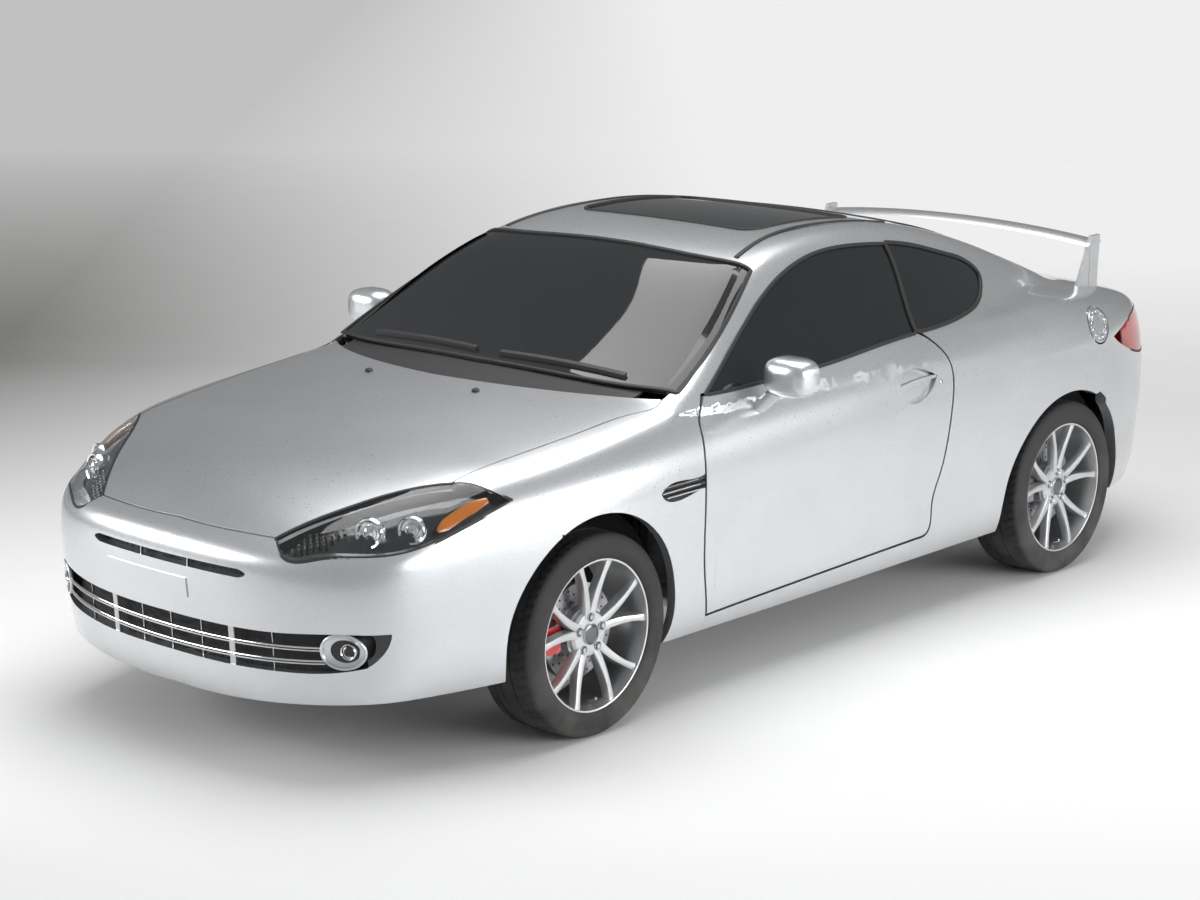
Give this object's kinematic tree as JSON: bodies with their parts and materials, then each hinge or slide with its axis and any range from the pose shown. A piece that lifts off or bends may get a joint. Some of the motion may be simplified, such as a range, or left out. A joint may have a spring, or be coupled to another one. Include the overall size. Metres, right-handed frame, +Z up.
{
  "type": "sports coupe",
  "caption": "Two-door liftback coupe with sloping hood, wrap-round headlamps, arched rear wing, opening doors, hood and hatch, steered front wheels and turning wheels.",
  "frame": {"origin": "on the ground, under the middle of the car's bounding box", "axes": "+X to the car's left side, +Y to its rear (the front faces -Y), +Z up"},
  "size_m": [2.026, 4.435, 1.3419],
  "materials": {
    "paint": "metallic gloss",
    "underbody": "satin",
    "black_trim": "matte",
    "tinted_glass": "tinted",
    "lamp_glass": "clear",
    "grille_metal": "bright",
    "seat_fabric": "woven",
    "cast_metal": "as cast",
    "alloy": "painted alloy",
    "exhaust_steel": "satin",
    "tyre_rubber": "matte"
  },
  "bodies": {
    "body": {"floor_pan": "underbody", "body_side_left": "paint", "body_side_right": "paint", "roof_panel": "paint", "cowl_panel": "black_trim", "fender_left": "paint", "fender_right": "paint", "front_bumper": "paint", "rear_bumper": "paint", "windshield": "tinted_glass", "quarter_glass": "tinted_glass", "sunroof_glass": "tinted_glass", "headlamps": "lamp_glass", "tail_lamps": "lamp_glass", "front_grille": "grille_metal", "fog_lamps": "lamp_glass", "side_vents": "black_trim", "wipers": "black_trim", "dashboard": "black_trim", "front_seats": "seat_fabric", "rear_seat": "seat_fabric", "engine": "cast_metal", "radiator": "alloy", "exhaust": "exhaust_steel", "front_suspension": "cast_metal", "rear_suspension": "cast_metal", "arch_liners": "black_trim"},
    "door_left": {"door_left": "paint", "door_glass_left": "tinted_glass", "mirror_left": "paint"},
    "door_right": {"door_right": "paint", "door_glass_right": "tinted_glass", "mirror_right": "paint"},
    "hood": {"hood": "paint"},
    "hatch": {"hatch": "paint", "rear_glass": "tinted_glass", "rear_spoiler": "paint"},
    "fuel_flap": {"fuel_flap": "paint"},
    "knuckle_left": {"knuckle_left": "cast_metal"},
    "knuckle_right": {"knuckle_right": "cast_metal"},
    "wheel_fl": {"tyre_fl": "tyre_rubber", "rim_fl": "alloy"},
    "wheel_fr": {"tyre_fr": "tyre_rubber", "rim_fr": "alloy"},
    "wheel_rl": {"tyre_rl": "tyre_rubber", "rim_rl": "alloy"},
    "wheel_rr": {"tyre_rr": "tyre_rubber", "rim_rr": "alloy"},
    "steering_wheel": {"steering_wheel": "black_trim"}
  },
  "joints": [
    {"name": "door_left_hinge", "type": "hinge", "parent": "body", "child": "door_left", "pos_m": [0.842, -0.7, 0.55], "axis": [0, 0, -1], "range_deg": [0, 65]},
    {"name": "door_right_hinge", "type": "hinge", "parent": "body", "child": "door_right", "pos_m": [-0.842, -0.7, 0.55], "axis": [0, 0, 1], "range_deg": [0, 65]},
    {"name": "hood_hinge", "type": "hinge", "parent": "body", "child": "hood", "pos_m": [0, -0.8, 0.926], "axis": [-1, 0, 0], "range_deg": [0, 50]},
    {"name": "hatch_hinge", "type": "hinge", "parent": "body", "child": "hatch", "pos_m": [0, 0.726, 1.278], "axis": [1, 0, 0], "range_deg": [0, 75]},
    {"name": "fuel_flap_hinge", "type": "hinge", "parent": "body", "child": "fuel_flap", "pos_m": [0.84214, 1.40079, 0.87974], "axis": [0.3324, 0.0273, -0.9428], "range_deg": [0, 80]},
    {"name": "steer_left", "type": "hinge", "parent": "body", "child": "knuckle_left", "pos_m": [0.7, -1.2675, 0.19], "axis": [-0.1853, 0, 0.9827], "range_deg": [-35, 35]},
    {"name": "steer_right", "type": "hinge", "parent": "body", "child": "knuckle_right", "pos_m": [-0.7, -1.2675, 0.19], "axis": [0.1853, 0, 0.9827], "range_deg": [-35, 35]},
    {"name": "wheel_fl_spin", "type": "hinge", "parent": "knuckle_left", "child": "wheel_fl", "pos_m": [0.745, -1.2675, 0.3125], "axis": [1, 0, 0], "continuous": true},
    {"name": "wheel_fr_spin", "type": "hinge", "parent": "knuckle_right", "child": "wheel_fr", "pos_m": [-0.745, -1.2675, 0.3125], "axis": [1, 0, 0], "continuous": true},
    {"name": "wheel_rl_spin", "type": "hinge", "parent": "body", "child": "wheel_rl", "pos_m": [0.745, 1.2625, 0.3125], "axis": [1, 0, 0], "continuous": true},
    {"name": "wheel_rr_spin", "type": "hinge", "parent": "body", "child": "wheel_rr", "pos_m": [-0.745, 1.2625, 0.3125], "axis": [1, 0, 0], "continuous": true},
    {"name": "steering_wheel_turn", "type": "hinge", "parent": "body", "child": "steering_wheel", "pos_m": [0.372, -0.24, 0.8], "axis": [0, 0.9205, 0.3907], "range_deg": [-490, 490]}
  ],
  "couplings": [
    {"joint": "steer_right", "follows": "steer_left", "ratio": 1},
    {"joint": "steering_wheel_turn", "follows": "steer_left", "ratio": 14}
  ]
}
